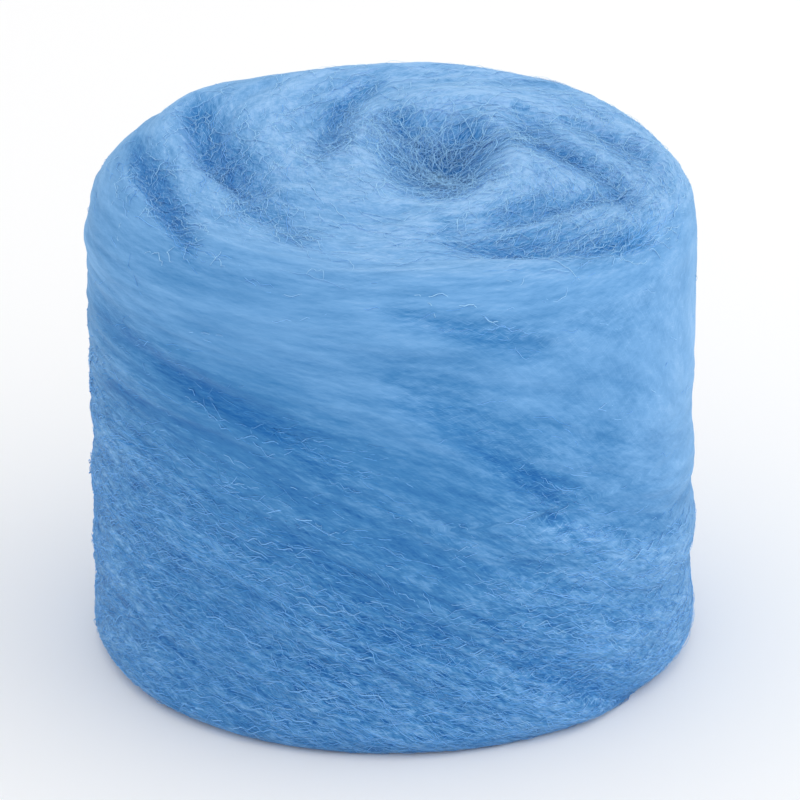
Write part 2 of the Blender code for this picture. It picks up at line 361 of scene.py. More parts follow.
def crevice_share(crevice, distance, azimuth):
    """How deep a place lies in one crevice, from 0 to 1.

    Across the crevice it is a bell curve, narrow on the outer wall and wide on the inner slope. Along
    it, a rounded hump that is nought at both ends.
    """
    middle = math.radians(crevice.azimuth_from + crevice.azimuth_to) / 2
    reach = math.radians(crevice.azimuth_to - crevice.azimuth_from) / 2
    along = wrapped(azimuth - middle) / reach
    fade = np.clip(1.0 - along * along, 0.0, 1.0) ** CREVICE_END_POWER
    mean = (crevice.distance_from + crevice.distance_to) / 2
    drift = (crevice.distance_to - crevice.distance_from) / 2
    across = distance / MM - mean - drift * along - crevice.bow * (1.0 - along * along)
    across = np.where(across > 0.0, across / crevice.wall, across / crevice.slope)
    return fade * np.exp(-across * across)


def eye_bowl(x, y):
    """How deep a place lies in the eye's bowl, from 0 to 1, and how high on its collar, from 0 to 1."""
    reach = np.hypot(x - EYE_OFFSET[0], (y - EYE_OFFSET[1]) / EYE_STRETCH)
    bowl = 1.0 - smoothstep(EYE_FLOOR_RADIUS, EYE_RIM_RADIUS, reach)
    return bowl, np.exp(-(((reach - COLLAR_RADIUS) / COLLAR_WIDTH) ** 2))


def pit_depth(x, y):
    """Depth of the pits in the eye: a sum of bell curves."""
    bells = [
        p.depth * MM * np.exp(-(((x / MM - p.x) / p.wide) ** 2) - ((y / MM - p.y) / p.long) ** 2)
        for p in PITS
    ]
    return sum(bells)


def swell_relief(x, y, z):
    """A few long waves round and along the drum, and its fuller shoulder.

    The waves die away towards the middle of each end. The shoulder is a bell curve round the drum, which
    dies away down the side and towards the middle of the top.
    """
    azimuth = np.arctan2(y, x)
    radius = np.hypot(x, y)
    level = z / ROLL_HEIGHT + radius / ROLL_RADIUS
    waves = [s.height * MM * np.sin(s.around * azimuth + s.along * level + s.phase) for s in SWELLS]
    shoulder = SHOULDER_RISE * np.exp(-((wrapped(azimuth - SHOULDER_AZIMUTH) / SHOULDER_REACH) ** 2))
    shoulder = shoulder * smoothstep(*SHOULDER_RADII, radius) * smoothstep(*SHOULDER_HEIGHTS, z)
    return sum(waves) * smoothstep(0.0, SWELL_FULL_RADIUS, radius) + shoulder


def scattered(column, row, seed):
    """A repeatable number from 0 to 1 for each corner of a lattice: the fraction of a steep sine."""
    steep = np.sin(column * 12.9898 + row * 78.233 + seed * 37.719) * 43758.5453
    return steep - np.floor(steep)


def lock_row(steps, row, around, across, seed):
    """Smooth noise along one row of the lattice of locks, between -1 and 1.

    Each row starts at its own place, so that locks of neighbouring rows overlap. After a whole turn
    the row meets the one that lies a turn's gain away, so that the pattern joins up.
    """
    steps = steps + scattered(0.0, row % across, seed + 5)
    cell = np.floor(steps)
    share = steps - cell
    ease = share * share * (3.0 - 2.0 * share)

    def corner(column):
        turns = np.floor(column / around)
        return scattered(column - turns * around, row - turns * across, seed)

    return 2.0 * (corner(cell) * (1.0 - ease) + corner(cell + 1.0) * ease) - 1.0


def lock_noise(azimuth, phase, around, across, seed):
    """Noise between -1 and 1 that is drawn out along the slivers: rows of noise, eased into each other."""
    steps = (azimuth / (2 * math.pi) + 0.5) * around
    level = phase / TURN_GAIN * across
    row = np.floor(level)
    share = level - row
    ease = share * share * (3.0 - 2.0 * share)
    here = lock_row(steps, row, around, across, seed)
    following = lock_row(steps, row + 1.0, around, across, seed)
    return here * (1.0 - ease) + following * ease


def lay_of(place):
    """Wound distance, winding azimuth and sliver phase of each place.

    The phase is the distance plus the turn's gain times the share of a turn. Fibres run along its
    level lines.
    """
    x, y, z = np.moveaxis(place, -1, 0)
    distance = wound_distance(x, y, z)
    azimuth = winding_azimuth(x, y, z)
    return distance, azimuth, distance + TURN_GAIN * azimuth / (2 * math.pi)


def wool_relief(place):
    """How far the wool stands out of the drum, and its look: tone, grain and depth in a gap.

    The relief is the sum of the slivers, the swells, the crevices, the eye and the locks. Towards the
    floor it turns into what is pressed flat under the roll. The depth is the largest share of a
    crevice times its painted shade, made uneven by the locks, or that of the eye's bowl and pits. The
    tone holds painted light and shade: paler on top, on the upper wraps and on the right, darker lower
    down, in the grooves between slivers and in the gaps, and paler on the collar.
    """
    x, y, z = np.moveaxis(place, -1, 0)
    distance, azimuth, phase = lay_of(place)
    form = bpy.context.scene.wool_form
    outside_eye = smoothstep(COLLAR_RADIUS, COLLAR_RADIUS + 2 * COLLAR_WIDTH, distance)
    slivers = sliver_relief(distance, azimuth)
    relief = outside_eye * sliver_crown(x, y, z) * slivers + swell_relief(x, y, z)
    gap = np.zeros_like(relief)
    for crevice in CREVICES:
        share = crevice_share(crevice, distance, azimuth)
        relief -= crevice.depth * MM * share
        gap = np.maximum(gap, share * crevice.dark)
    bowl, collar = eye_bowl(x, y)
    upper = z > ROLL_HEIGHT / 2
    pits = pit_depth(x, y)
    relief += np.where(upper, COLLAR_RISE * collar - EYE_DEPTH * bowl - pits, 0.0)
    noises = [lock_noise(azimuth, phase, k.around, k.across, k.seed) for k in LOCKS]
    gap = gap * np.clip(GAP_EVEN + GAP_UNEVEN[0] * noises[1] + GAP_UNEVEN[1] * noises[2], *GAP_LIMITS)
    # Painted shade in the eye: a share in its bowl, and more in its pits
    nest = BOWL_GAP * bowl + pits / FULL_PIT
    gap = np.clip(np.maximum(gap, np.where(upper, nest, 0.0)), 0.0, 1.0)
    locks = sum(k.height * MM * noise for k, noise in zip(LOCKS, noises))
    relief += form.lock_height * locks * smoothstep(0.0, LOCK_FULL_HEIGHT, z)
    loose = smoothstep(FLAT_SPOT_RADIUS, PRESSED_RADIUS, np.hypot(x, y))
    pressed = loose * np.minimum(relief + PRESSED, 0.0)
    off_floor = smoothstep(0.0, PRESSED_HEIGHT, z)
    relief = off_floor * relief + (1.0 - off_floor) * pressed
    mixed = distance + LOCK_PUSHES[0] * noises[0] + LOCK_PUSHES[1] * noises[1]
    # Painted light from above: paler on the top and on the upper wraps, deeper lower down the side
    top = 1.0 - smoothstep(*TOP_FADE, mixed)
    # Painted light from the right: the low side is paler
    right = smoothstep(*RIGHT_SPAN, np.cos(np.arctan2(y, x) - LOW_SIDE))
    lit_tone = LIT_UPPER_TONE + RIGHT_PAINTED_LIGHT_HIGH * right
    shaded_tone = SHADED_LOWER_TONE + RIGHT_PAINTED_LIGHT_LOW * right
    deep = smoothstep(*PAINTED_SHADE_SPAN, mixed + RIGHT_PAINTED_SHADE_CUT * right)
    tone = lit_tone + (shaded_tone - lit_tone) * deep
    # Painted light on top and painted shade in the grooves between slivers
    tone = tone + TOP_PAINTED_LIGHT * top + SLIVER_GROOVE_SHADE * slivers
    for share, noise in zip(LOCK_TONES, noises):
        tone = tone + share * noise
    # Painted shade in the gaps and painted light on the raised collar round the eye
    tone = tone - GAP_PAINTED_SHADE * gap + np.where(upper, COLLAR_PAINTED_LIGHT * collar, 0.0)
    coarse = smoothstep(*COARSENING, mixed + RIGHT_GRAIN_CUT * right)
    grain = SMOOTH_GRAIN + (1.0 - SMOOTH_GRAIN) * coarse
    grain = grain + TOP_GRAIN * top + GAP_GRAIN * gap**GAP_GRAIN_POWER
    look = {"tone": tone, "grain": grain, "depth": gap}
    return relief, {name: np.clip(share, 0.0, 1.0) for name, share in look.items()}


def wool_surface(along, around):
    """Places on the wool, the drum's normals there and the wool's look: the drum, pushed out."""
    place, normal = drum(along, around)
    relief, look = wool_relief(place)
    wool = place + normal * relief[..., None]
    wool[..., 2] = np.maximum(wool[..., 2], 0.0)
    return wool, normal, look


def new_object(name, data):
    """An object of the scene."""
    thing = bpy.data.objects.new(name, data)
    bpy.context.scene.collection.objects.link(thing)
    return thing


def new_piece(name, corners, triangles):
    """A mesh object from arrays of corners and triangles, which rides on the roll's only body."""
    mesh = bpy.data.meshes.new(name)
    mesh.vertices.add(len(corners))
    mesh.vertices.foreach_set("co", np.ascontiguousarray(corners, np.float32).ravel())
    mesh.loops.add(triangles.size)
    mesh.loops.foreach_set("vertex_index", np.ascontiguousarray(triangles, np.int32).ravel())
    mesh.polygons.add(len(triangles))
    mesh.polygons.foreach_set("loop_start", np.arange(0, triangles.size, 3, dtype=np.int32))
    mesh.update(calc_edges=True)
    mesh.validate()
    piece = new_object(name, mesh)
    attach(piece, BODY)
    return piece


def set_share(mesh, name, values):
    """Stores a number of each point, such as its tone, for the material."""
    attribute = mesh.attributes.new(name, "FLOAT", "POINT")
    attribute.data.foreach_set("value", np.ascontiguousarray(values, np.float32).ravel())


def roll_grid():
    """Two parameters of every grid point of the roll, rows by columns, from the eye to the underside."""
    upper = np.linspace(0.0, BOTTOM_START, ROWS_TO_FOOT + 1)[1:]
    lower = np.linspace(BOTTOM_START, OUTLINE_END, ROWS_BELOW + 1)[1:-1]
    along = np.concatenate((upper, lower))
    around = np.linspace(0.0, 2 * math.pi, COLUMNS, endpoint=False)
    return np.meshgrid(along, around, indexing="ij")


def grid_triangles(rows, columns):
    """Triangles of a closed grid whose first corner is the upper pole and whose last is the lower one.

    Each cell is cut in two, and each pole is joined to its nearest row by a fan.
    """
    row, column = np.meshgrid(np.arange(rows - 1), np.arange(columns), indexing="ij")
    beside = (column + 1) % columns
    here = 1 + row * columns + column
    right = 1 + row * columns + beside
    below = here + columns
    below_right = right + columns
    cells = np.stack((here, below, below_right, here, below_right, right), axis=-1).reshape(-1, 3)
    ring = np.arange(columns)
    following = (ring + 1) % columns
    top = np.stack((np.zeros_like(ring), 1 + ring, 1 + following), axis=-1)
    last = 1 + (rows - 1) * columns
    foot = np.stack((np.full_like(ring, last + columns), last + following, last + ring), axis=-1)
    return np.concatenate((cells, top, foot))


def lay_maps(mesh, corners, triangles):
    """Two UV maps that follow the fibres, with their seams on opposite sides, and the share between them.

    U is the azimuth times the drum's radius, and V is the sliver phase, both in metres. In the first
    map a triangle's azimuths are near those of its first corner counted from -pi, and in the second
    from nought. The share is 1 near the first map's seam, where the second one is used.
    """
    distance, azimuth, _ = lay_of(corners)
    share = smoothstep(0.55 * math.pi, 0.8 * math.pi, np.abs(azimuth))
    set_share(mesh, "lay_share", share)
    turned = azimuth[triangles]
    for name, start in (("lay_front", -math.pi), ("lay_back", 0.0)):
        first = (turned[:, :1] - start) % (2 * math.pi) + start
        near = first + wrapped(turned - first)
        phase = distance[triangles] + TURN_GAIN * near / (2 * math.pi)
        spread = np.stack((near * ROLL_RADIUS, phase), axis=-1)
        layer = mesh.uv_layers.new(name=name)
        layer.uv.foreach_set("vector", spread.astype(np.float32).ravel())


def flow_frame(along, around):
    """Steps over the drum in its two parameters, the normal, and how the phase changes with them."""
    place, normal = drum(along, around)
    down = (drum(along + PROBE, around)[0] - place) / PROBE
    aside = (drum(along, around + PROBE_TURN)[0] - place) / PROBE_TURN
    changes = []
    distance, azimuth, _ = lay_of(place)
    for step, width in ((down, PROBE), (aside, PROBE_TURN)):
        moved_distance, moved_azimuth, _ = lay_of(place + step * width)
        gain = TURN_GAIN * wrapped(moved_azimuth - azimuth) / (2 * math.pi)
        changes.append((moved_distance - distance + gain) / width)
    return down, aside, normal, changes


def flow_step(along, around, heading, length):
    """Moves points a given length over the drum, at a heading from the run of the fibres.

    The run is the level line of the phase: its change along the outline times the step round, less its
    change with the angle times the step along. The heading turns it about the normal, and the metric
    of the two steps turns it back into the two parameters.
    """
    down, aside, normal, (by_along, by_around) = flow_frame(along, around)
    run = unit(by_along[:, None] * aside - by_around[:, None] * down)
    side = np.cross(normal, run)
    aim = np.cos(heading)[:, None] * run + np.sin(heading)[:, None] * side
    dd = np.sum(down * down, axis=1)
    da = np.sum(down * aside, axis=1)
    aa = np.sum(aside * aside, axis=1)
    to_down = np.sum(aim * down, axis=1)
    to_aside = np.sum(aim * aside, axis=1)
    spread = np.maximum(dd * aa - da * da, 1e-9)
    step_along = (to_down * aa - to_aside * da) / spread * length
    step_around = (to_aside * dd - to_down * da) / spread * length
    return along + step_along, around + np.clip(step_around, -MOST_TURN, MOST_TURN), side


def lay_turn(place):
    """How far the fibres turn off the slivers at each place: a sum of bell curves over the top."""
    distance, azimuth, _ = lay_of(place)
    total = np.zeros_like(distance)
    for turn in LAY_TURNS:
        round_off = wrapped(azimuth - math.radians(turn.azimuth)) / math.radians(turn.reach)
        out_off = (distance / MM - turn.distance) / turn.width
        total += math.radians(turn.turn) * np.exp(-(round_off**2) - out_off**2)
    return total


def scattered_starts(layer, count, random):
    """Random places on a stretch of the outline, more of them where the grain is coarse.

    The candidates are spread evenly over the area, with the outline's radius as the weight. Those are
    kept whose random wait, divided by the least weight plus the cube of the grain, is short.
    """
    candidates = CANDIDATES * count
    steps = np.linspace(layer.start * MM, layer.end * MM, SPREAD_STEPS)
    radius = np.maximum(np.hypot(*drum(steps, 0.0 * steps)[0][:, :2].T), 1.0 * MM)
    share = np.cumsum(radius)
    share = (share - share[0]) / (share[-1] - share[0])
    along = np.interp(random.random(candidates), share, steps)
    around = random.random(candidates) * 2 * math.pi
    grain = wool_surface(along, around)[2]["grain"]
    wait = random.exponential(1.0, candidates) / (LEAST_WEIGHT + grain**3)
    kept = np.argsort(wait)[:count]
    return along[kept], around[kept]


def fibre_paths(layer):
    """Paths of a layer's fibres over the wool: places (fibre, point, xyz), normals, half thickness, look.

    A fibre starts sunk in the wool and is led along the run of the fibres, off it by its own angle,
    which turns steadily by its curl. Its crimp is a sine to the side and a cosine off the wool. Its
    height is a rounded hump that is sunk at both ends, and it tapers to a point there.
    """
    random = np.random.default_rng(layer.seed)
    amounts = bpy.context.scene.wool_fibres
    count = round(layer.count * amounts.amount)
    along, around = scattered_starts(layer, count, random)
    length = layer.length * MM * random.uniform(*LENGTH_SPREAD, count)
    place = drum(along, around)[0]
    _, azimuth, phase = lay_of(place)
    together = lock_noise(azimuth, phase, *STRAY_LOCKS, layer.seed)
    stray = OWN_STRAY * random.standard_normal(count) + LOCK_STRAY * together
    heading = np.radians(layer.stray) * stray + lay_turn(place)
    curl = np.radians(layer.curl) * random.standard_normal(count)
    waves = 2 * math.pi * length / (layer.wave * MM * random.uniform(*WAVE_SPREAD, count))
    start_wave = random.uniform(0.0, 2 * math.pi, count)
    crimp = layer.crimp * MM * random.uniform(*CRIMP_SPREAD, count)
    lift = layer.lift * MM * random.uniform(0.0, 1.0, count) ** LIFT_POWER
    shares = np.linspace(0.0, 1.0, layer.points)
    places, normals, tones, depths = [], [], [], []
    for share in shares:
        wool, normal, look = wool_surface(along, around)
        moved_along, moved_around, side = flow_step(
            along, around, heading + curl * (share - 0.5), length / (layer.points - 1)
        )
        wave = start_wave + waves * share
        hump = math.sin(math.pi * share) ** HUMP_POWER
        height = lift * hump - layer.sink * MM * (1.0 - hump) + CRIMP_LIFT * crimp * np.cos(wave)
        places.append(wool + side * (crimp * np.sin(wave))[:, None] + normal * height[:, None])
        normals.append(normal)
        tones.append(look["tone"])
        depths.append(look["depth"])
        along, around = np.clip(moved_along, POLE_GAP, BOTTOM_START), moved_around
    places = np.stack(places, axis=1)
    half = amounts.thickness * layer.half * MM * random.uniform(*HALF_SPREAD, count)
    thick = half[:, None] * np.clip(np.sin(math.pi * shares), 0.0, 1.0) ** TAPER_POWER
    places[..., 2] = np.maximum(places[..., 2], FLOOR_GAP * half[:, None])
    tone = np.mean(tones, axis=0)
    # Paler than the wool under them: partly their own colour, partly painted light
    tone = tone + layer.tone * (1.0 - tone) + random.uniform(*TONE_SPREAD, count)
    look = {"tone": np.clip(tone, 0.0, 1.0), "depth": np.mean(depths, axis=0)}
    return places, np.stack(normals, axis=1), thick, look


# Cross-section of a fibre: off the wool and to the side, in half thicknesses
SECTION = np.array(((0.35, 0.0), (-0.2, 1.0), (-0.2, -1.0)))


def fibre_tubes(places, normals, thick):
    """Closed three-sided tubes along the paths.

    At each inner point three corners stand round the path, in the plane of the normal and of its cross
    product with the path: a low crest and the two edges of a flat foot. So a fibre catches the light as
    the wool under it does. The tube's first and last points are its tips.
    """
    count, points = places.shape[:2]
    heading = unit(np.gradient(places, axis=1))
    side = unit(np.cross(heading, normals))
    up = np.cross(side, heading)
    ring = up[:, 1:-1, None] * SECTION[:, :1] + side[:, 1:-1, None] * SECTION[:, 1:]
    rings = places[:, 1:-1, None] + ring * thick[:, 1:-1, None, None]
    corners = np.concatenate((places[:, :1], rings.reshape(count, -1, 3), places[:, -1:]), axis=1)
    per_fibre = corners.shape[1]
    corner = np.arange(3)
    following = (corner + 1) % 3
    low = 1 + 3 * np.arange(points - 3)[:, None]
    here, beside = low + corner, low + following
    walls = np.stack((here, beside, beside + 3, here, beside + 3, here + 3), axis=-1).reshape(-1, 3)
    first = np.stack((0 * corner, 1 + following, 1 + corner), axis=-1)
    last_ring = 1 + 3 * (points - 3)
    last = np.stack((np.full(3, per_fibre - 1), last_ring + corner, last_ring + following), axis=-1)
    pattern = np.concatenate((first, walls, last))
    triangles = (pattern[None] + per_fibre * np.arange(count)[:, None, None]).reshape(-1, 3)
    return corners.reshape(-1, 3), triangles, per_fibre


class Web:
    """Node tree of one material, with short calls to add and join its nodes."""

    def __init__(self, name):
        self.material = bpy.data.materials.new(name)
        self.material.use_nodes = True
        self.tree = self.material.node_tree
        self.shader = self.tree.nodes["Principled BSDF"]

    def feed(self, node, sockets):
        """Sets a node's sockets to values, or links them to outputs."""
        for key, value in sockets.items():
            if isinstance(value, bpy.types.NodeSocket):
                self.tree.links.new(value, node.inputs[key])
            else:
                node.inputs[key].default_value = value

    def add(self, kind, sockets=None, **settings):
        node = self.tree.nodes.new(kind)
        for key, value in settings.items():
            setattr(node, key, value)
        self.feed(node, sockets or {})
        return node

    def maths(self, operation, *values):
        return self.add("ShaderNodeMath", dict(enumerate(values)), operation=operation).outputs[0]

    def attribute(self, name):
        return self.add("ShaderNodeAttribute", attribute_name=name).outputs["Fac"]

    def lay(self, name, turn):
        """One of the roll's two maps, turned about its origin by so many degrees."""
        lay = self.add("ShaderNodeUVMap", uv_map=name).outputs[0]
        sockets = {"Vector": lay, "Rotation": (0.0, 0.0, math.radians(turn))}
        return self.add("ShaderNodeMapping", sockets).outputs[0]

    def flat_noise(self, lay, along, across, detail, rough=0.5):
        """Noise of so many cells for each metre along and across the fibres."""
        cells = {0: lay, 1: (along, across, 1.0)}
        scaled = self.add("ShaderNodeVectorMath", cells, operation="MULTIPLY").outputs[0]
        sockets = {"Vector": scaled, "Scale": 1.0, "Detail": detail, "Roughness": rough}
        return self.add("ShaderNodeTexNoise", sockets, noise_dimensions="2D").outputs["Fac"]

    def both_maps(self, pattern):
        """A pattern made on each of the two maps, mixed by the share between them."""
        sockets = {0: self.attribute("lay_share"), 2: pattern("lay_front"), 3: pattern("lay_back")}
        return self.add("ShaderNodeMix", sockets, data_type="FLOAT").outputs[0]

    def laid_noise(self, fleck):
        """A fleck's noise."""

        def pattern(name):
            lay = self.lay(name, fleck.turn)
            return self.flat_noise(lay, fleck.along, fleck.across, fleck.detail, FLECK_ROUGHNESS)

        return self.both_maps(pattern)

    def crimped_hairs(self, hair_set):
        """Thin crimped hairs: 1 on a hair and 0 between them.

        The crests of a sine across the fibres, whose phase is pushed to and fro by a noise as high as
        the crimp and as long as its wave. A second noise, drawn out along the hairs, breaks them off.
        """
        pitch, crimp, wave = hair_set.pitch * MM, hair_set.crimp * MM, hair_set.wave * MM

        def pattern(name):
            lay = self.lay(name, hair_set.turn)
            across = self.add("ShaderNodeSeparateXYZ", {0: lay}).outputs[1]
            push = self.flat_noise(lay, 1.0 / wave, 0.6 / wave, 1.0)
            turns = 2 * math.pi / pitch
            pushed = self.maths("MULTIPLY", push, crimp * turns)
            phase = self.maths("MULTIPLY_ADD", across, turns, pushed)
            crest = self.maths("SUBTRACT", self.maths("SINE", phase), HAIR_EDGE)
            patch = self.flat_noise(lay, PATCH_CELLS[0] / pitch, PATCH_CELLS[1] / pitch, 1.0)
            there = self.maths("SUBTRACT", patch, 0.5 - hair_set.cover)
            there = self.maths("MULTIPLY", self.maths("MAXIMUM", there, 0.0), PATCH_EDGE)
            there = self.maths("MINIMUM", there, 1.0)
            hair = self.maths("MULTIPLY", self.maths("MAXIMUM", crest, 0.0), there)
            return self.maths("MULTIPLY", hair, HAIR_GAIN)

        return self.both_maps(pattern)

    def ramp(self, tone, colours):
        node = self.add("ShaderNodeValToRGB", {0: tone})
        elements = node.color_ramp.elements
        while len(elements) < len(colours):
            elements.new(0.5)
        for element, place, colour in zip(elements, RAMP_TONES, colours):
            element.position = place
            element.color = colour
        return node.outputs[0]


# Gloss of the roll and of single fibres, how far each turns to the painted shade blue of gaps over a
# deep one, how wide the roll's sheen spreads, and the tones of the four blues
ROLL_GLOSS = 0.08
FIBRE_GLOSS = 0.05
ROLL_GAP_SHARE = 0.5
FIBRE_GAP_SHARE = 0.15
SHEEN_SPREAD = 0.45
RAMP_TONES = (0.0, 0.35, 0.7, 1.0)


def matt_wool(web, tone, gain, depth_share, gloss):
    """Matt wool, coloured by a ramp of its tone, which turns to a painted shade of rich blue in gaps.

    The painted shade stands in for the light in a gap, which has passed through many fibres and
    turned bluer. All colours are lightened by the gain, painted light on the fibres, and no part of
    them passes 1.
    """
    colours = bpy.context.scene.wool_colours
    blues = (colours.deep, colours.middle, colours.light, colours.pale, colours.gap)
    # Painted light: the fibres' colours are lightened by the gain
    blues = [(*(min(1.0, gain * part) for part in blue), 1.0) for blue in blues]
    # Painted shade: over a deep gap the colour turns to the rich gap blue
    share = web.maths("MULTIPLY", web.attribute("depth"), depth_share)
    sockets = {0: share, 6: web.ramp(tone, blues[:-1]), 7: blues[-1]}
    colour = web.add("ShaderNodeMix", sockets, data_type="RGBA").outputs[2]
    finish = {"Base Color": colour, "Roughness": colours.roughness, "Specular IOR Level": gloss}
    web.feed(web.shader, finish)


# Hairs drawn in the wool's surface: their turn off the fibres (degrees), their pitch and the height
# and length of their crimp (mm), how much they cover, and how pale they are. They are a sine's crests
# above the edge, times the gain, in patches with so many cells to the pitch along and across and so
# steep an edge. Over a gap they are paler, and on smooth wool this share of them shows.
HairSet = namedtuple("HairSet", "turn pitch crimp wave cover tone")
HAIR_SETS = (
    HairSet(4, 0.36, 0.5, 3.0, 0.04, 0.28),
    HairSet(-24, 0.42, 0.6, 2.6, 0.0, 0.28),
    HairSet(33, 0.48, 0.7, 2.2, -0.02, 0.28),
)
HAIR_EDGE = 0.35
HAIR_GAIN = 1.5
PATCH_CELLS = (0.132, 0.8)
PATCH_EDGE = 7.0
GAP_HAIR_TONE = 0.8
SMOOTH_HAIRS = 0.15

# Unevenness of the wool's tone: its turn off the fibres (degrees), its cells in a metre along and
# across them, its detail and weight, and how much of it only shows in coarse grain
Fleck = namedtuple("Fleck", "turn along across detail weight grain")
FLECKS = (
    Fleck(0, 24, 120, 2, 0.42, 0.3),
    Fleck(-5, 75, 420, 2, 0.95, 0.6),
    Fleck(12, 260, 1100, 2, 0.90, 0.85),
    Fleck(-18, 420, 1700, 2, 0.80, 0.9),
)
FLECK_ROUGHNESS = 0.6

# Bump of the wool: its depth, its strength, and, in shares of the depth, the height of a fleck for each
# metre of its width and that of a hair
BUMP_DEPTH = 0.6 * MM
BUMP_STRENGTH = 0.6
FLECK_HEIGHT = 70.0
HAIR_HEIGHT = 0.16


def roll_wool():
    """Wool of the roll itself: its tone, uneven along the fibres, and crimped hairs on it.

    The sheen is the shine of the loose fuzz where the wool is seen edge on.
    """
    colours = bpy.context.scene.wool_colours
    web = Web("combed_wool")
    tone = web.attribute("tone")
    grain = web.attribute("grain")
    height = 0.0
    for fleck in FLECKS:
        uneven = web.maths("SUBTRACT", web.laid_noise(fleck), 0.5)
        coarse = fleck.weight * fleck.grain
        weight = web.maths("MULTIPLY_ADD", grain, coarse, fleck.weight - coarse)
        tone = web.maths("MULTIPLY_ADD", uneven, weight, tone)
        height = web.maths("MULTIPLY_ADD", uneven, FLECK_HEIGHT / fleck.across, height)
    shown = web.maths("MULTIPLY_ADD", grain, 1.0 - SMOOTH_HAIRS, SMOOTH_HAIRS)
    depth = web.attribute("depth")
    for hair_set in HAIR_SETS:
        hairs = web.maths("MULTIPLY", web.crimped_hairs(hair_set), shown)
        paleness = web.maths("MULTIPLY_ADD", depth, GAP_HAIR_TONE, hair_set.tone)
        tone = web.maths("MULTIPLY_ADD", hairs, paleness, tone)
        height = web.maths("MULTIPLY_ADD", hairs, HAIR_HEIGHT, height)
    sockets = {"Height": height, "Strength": BUMP_STRENGTH, "Distance": BUMP_DEPTH}
    web.feed(web.shader, {"Normal": web.add("ShaderNodeBump", sockets).outputs[0]})
    matt_wool(web, tone, 1.0, ROLL_GAP_SHARE, ROLL_GLOSS)
    tint = (*colours.sheen_colour, 1.0)
    sheen = {"Sheen Weight": colours.sheen, "Sheen Roughness": SHEEN_SPREAD, "Sheen Tint": tint}
    web.feed(web.shader, sheen)
    return web.material


# Painted light: how much lighter fibres are painted than the wool, to make up for the shade that the
# wool casts at their foot, and how uneven their tone is, with so many cells in each metre
FIBRE_PAINTED_LIGHT = 1.32
FIBRE_UNEVEN = 0.25
FIBRE_CELLS = 320.0


def fibre_wool():
    """Wool of single fibres: their tone, slightly uneven from place to place, lightened as painted light.
    """
    web = Web("wool_fibres")
    where = web.add("ShaderNodeTexCoord").outputs["Object"]
    sockets = {"Vector": where, "Scale": FIBRE_CELLS, "Detail": 1.0}
    noise = web.add("ShaderNodeTexNoise", sockets).outputs["Fac"]
    uneven = web.maths("SUBTRACT", noise, 0.5)
    tone = web.maths("MULTIPLY_ADD", uneven, FIBRE_UNEVEN, web.attribute("tone"))
    matt_wool(web, tone, FIBRE_PAINTED_LIGHT, FIBRE_GAP_SHARE, FIBRE_GLOSS)
    return web.material


def lay_fibres(layers):
    """One piece of each layer's fibres. All layers share one material."""
    material = bpy.data.materials.get("wool_fibres") or fibre_wool()
    for layer in layers:
        places, normals, thick, look = fibre_paths(layer)
        corners, triangles, per_fibre = fibre_tubes(places, normals, thick)
        piece = new_piece(layer.name, corners, triangles)
        for name, share in look.items():
            set_share(piece.data, name, np.repeat(share, per_fibre))
        piece.data.materials.append(material)


def linear(red, green, blue):
    """A screen colour, 0 to 255, as the linear colour that Blender's sockets take."""
    shares = (red / 255, green / 255, blue / 255)
    return tuple(s / 12.92 if s <= 0.04045 else ((s + 0.055) / 1.055) ** 2.4 for s in shares)


def colour_property(name, description, default):
    """A colour that a user can change."""
    kind = {"subtype": "COLOR", "min": 0.0, "max": 1.0}
    return FloatVectorProperty(name=name, description=description, default=default, **kind)


def number_property(name, description, default, **kind):
    """A number that a user can change, with its limits and unit or subtype."""
    return FloatProperty(name=name, description=description, default=default, **kind)


def share_property(name, description, default, least=0.0, most=1.0):
    """A share that a user can change."""
    return number_property(name, description, default, subtype="FACTOR", min=least, max=most)


class WoolColours(bpy.types.PropertyGroup):
    """Colours and finish of the wool."""

    # Painted light and shade: the ramp puts deep blue in the gaps, middle lower down and light on top
    deep: colour_property(
        "Deep blue", "Colour of the wool between its turns and locks", linear(25, 94, 163)
    )
    middle: colour_property("Middle blue", "Colour of the wool where it lies tight", linear(66, 131, 189))
    light: colour_property("Light blue", "Colour of the wool where it lies loose", linear(113, 168, 221))
    pale: colour_property("Pale blue", "Colour of the palest fibres", linear(151, 195, 241))
    # Painted shade: the rich blue that the gaps are painted
    gap: colour_property(
        "Gap blue", "Colour of the light that the fibres round a gap let through", linear(46, 133, 206)
    )
    sheen_colour: colour_property("Sheen", "Colour of the soft shine of the fuzz", (0.5, 0.76, 1.0))
    sheen: share_property("Sheen amount", "How strongly the fuzz shines where it is seen edge on", 0.5)
    roughness: share_property("Roughness", "How matt a fibre is", 0.7)


class WoolForm(bpy.types.PropertyGroup):
    """Relief of the roll beyond its main form."""

    lock_height: share_property(
        "Lock height", "How high the locks of fibres stand, as a share of their usual height", 1.0, most=3.0
    )


class WoolFibres(bpy.types.PropertyGroup):
    """Single fibres that lie on the wool."""

    amount: share_property(
        "Amount", "How many fibres are laid, as a share of the usual number", 1.0, most=1.5
    )
    thickness: share_property(
        "Thickness", "How thick the fibres are, as a share of the usual", 1.0, least=0.2, most=3.0
    )


class WoolStudio(bpy.types.PropertyGroup):
    """Floor, light and camera."""

    floor_size: number_property(
        "Floor size", "Length of each side of the floor", 6.0, min=0.5, unit="LENGTH"
    )
    floor_colour: colour_property("Floor colour", "Colour of the plain floor", (0.96, 0.96, 0.96))
    sky_strength: number_property("Room light", "Strength of the even light from all sides", 1.0, min=0.0)
    key_power: number_property(
        "Key light", "Power of the large light above and to the right", 1.4, min=0.0, unit="POWER"
    )
    camera_elevation: number_property(
        "Camera elevation", "Angle of the camera above the floor", math.radians(25), subtype="ANGLE"
    )
    camera_distance: number_property(
        "Camera distance", "Distance of the camera from the roll", 1.911, min=0.2, unit="LENGTH"
    )
    lens: number_property(
        "Lens", "Focal length of the camera", 400.0, min=20.0, subtype="DISTANCE_CAMERA", unit="CAMERA"
    )


